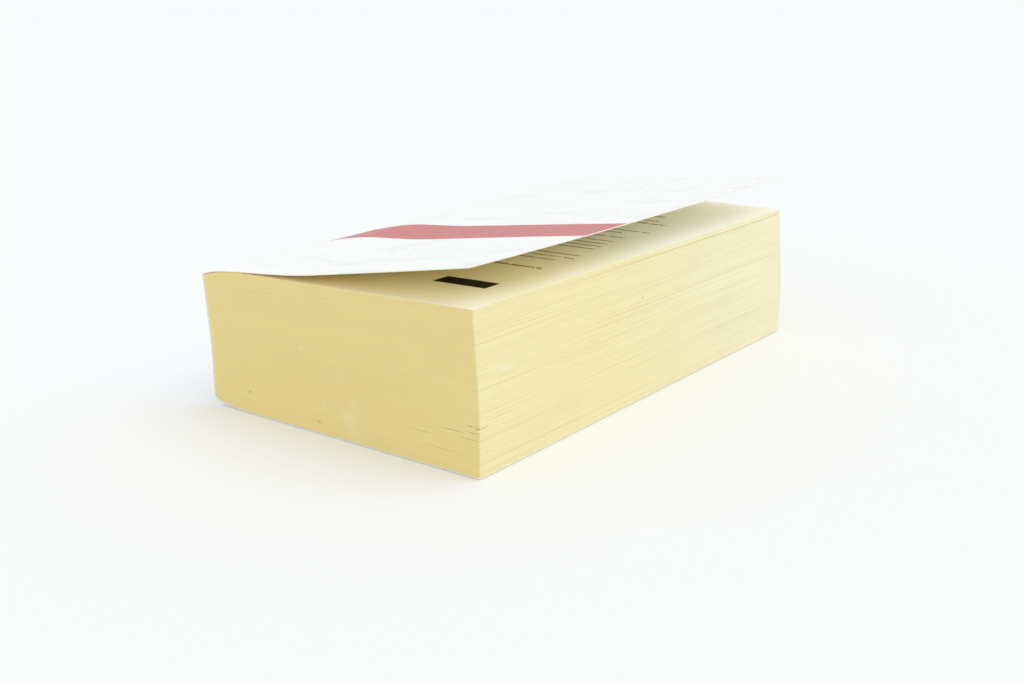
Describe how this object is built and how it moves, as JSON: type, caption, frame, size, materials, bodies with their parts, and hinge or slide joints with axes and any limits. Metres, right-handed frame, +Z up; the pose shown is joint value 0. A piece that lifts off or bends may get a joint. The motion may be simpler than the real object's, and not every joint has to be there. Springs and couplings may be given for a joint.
{
  "type": "paperback book",
  "caption": "Thick paperback book lying on its back cover, with yellowed page edges, a glued spine and a thin card front cover that curls up from the first page.",
  "frame": {"origin": "on the surface that the book lies on, under the middle of the trimmed size", "axes": "+X from the spine to the fore-edge, +Y from tail to head, +Z up through the front cover"},
  "size_m": [0.1105, 0.187, 0.0605],
  "materials": {
    "page_paper": "matte",
    "binding_glue": "satin",
    "cover_card": "gloss"
  },
  "bodies": {
    "book_block": {"text_block": "page_paper", "spine_glue": "binding_glue", "cover_spine": "cover_card"},
    "front_cover": {"front_cover": "cover_card"},
    "back_cover": {"back_cover": "cover_card"}
  },
  "joints": [
    {"name": "front_cover_fold", "type": "hinge", "parent": "book_block", "child": "front_cover", "pos_m": [-0.0555, 0, 0.04302], "axis": [0, -1, 0], "range_deg": [0, 180]},
    {"name": "back_cover_fold", "type": "hinge", "parent": "book_block", "child": "back_cover", "pos_m": [-0.05061, 0, 0.00099], "axis": [0, 1, 0], "range_deg": [0, 180]}
  ]
}
